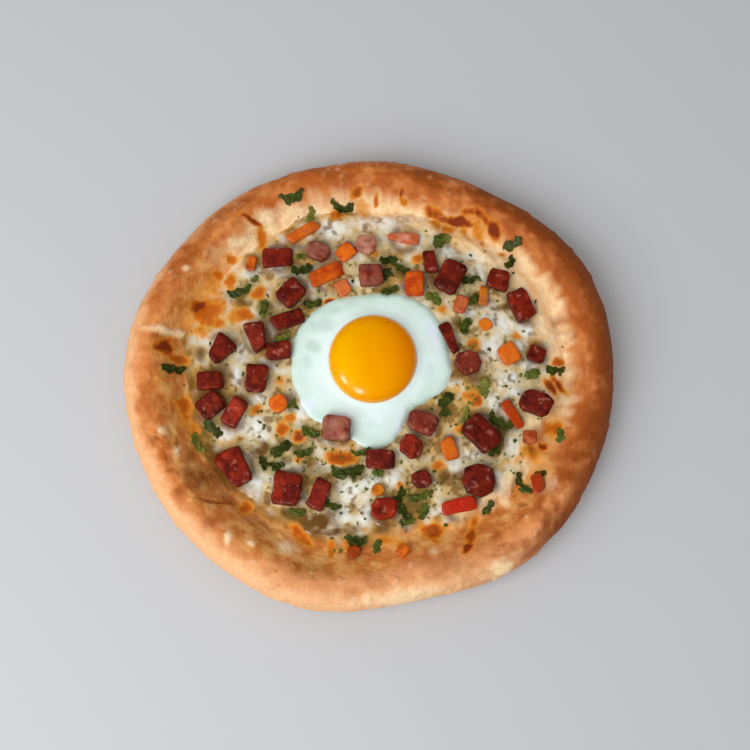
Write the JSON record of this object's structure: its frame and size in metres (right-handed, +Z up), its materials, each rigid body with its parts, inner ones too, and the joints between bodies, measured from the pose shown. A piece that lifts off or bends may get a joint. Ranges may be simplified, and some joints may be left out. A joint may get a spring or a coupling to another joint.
{
  "type": "turkish pide",
  "caption": "Round open flatbread with a puffed bread rim round melted cheese, diced sausage, pepper pieces, torn herb leaves and a fried egg in the middle.",
  "frame": {"origin": "middle of the bread's outline, on its flat underside", "axes": "+Z up; +X to the right and +Y to the top of the picture, across and along the bread as the viewer sees it"},
  "size_m": [0.231, 0.2142, 0.0252],
  "materials": {
    "crust": "matte, mottled golden brown",
    "cheese": "soft sheen, with browned spots",
    "egg_white": "wet gloss",
    "egg_yolk": "wet gloss",
    "sausage": "oily, marbled with fat",
    "pepper": "oily"
  },
  "bodies": {
    "root": {"crust": "crust", "cheese": "cheese", "egg_white": "egg_white", "egg_yolk": "egg_yolk", "sausage_01": "sausage", "sausage_02": "sausage", "sausage_03": "sausage", "sausage_04": "sausage", "sausage_05": "sausage", "sausage_06": "sausage", "sausage_07": "sausage", "sausage_08": "sausage", "sausage_09": "sausage", "sausage_10": "sausage", "sausage_11": "sausage", "sausage_12": "sausage", "sausage_13": "sausage", "sausage_14": "sausage", "sausage_15": "sausage", "sausage_16": "sausage", "sausage_17": "sausage", "sausage_18": "sausage", "sausage_19": "sausage", "sausage_20": "sausage", "sausage_21": "sausage", "sausage_22": "sausage", "sausage_23": "sausage", "sausage_24": "sausage", "sausage_25": "sausage", "sausage_26": "sausage", "sausage_27": "sausage", "sausage_28": "sausage", "sausage_29": "sausage", "sausage_30": "sausage", "sausage_31": "sausage", "sausage_32": "sausage", "pepper_01": "pepper", "pepper_02": "pepper", "pepper_03": "pepper", "pepper_04": "pepper", "pepper_05": "pepper", "pepper_06": "pepper", "pepper_07": "pepper", "pepper_08": "pepper", "pepper_09": "pepper", "pepper_10": "pepper", "pepper_11": "pepper", "pepper_12": "pepper", "pepper_13": "pepper", "pepper_14": "pepper", "pepper_15": "pepper", "pepper_16": "pepper", "pepper_17": "pepper", "pepper_18": "pepper", "pepper_19": "pepper", "pepper_20": "pepper"}
  },
  "joints": []
}
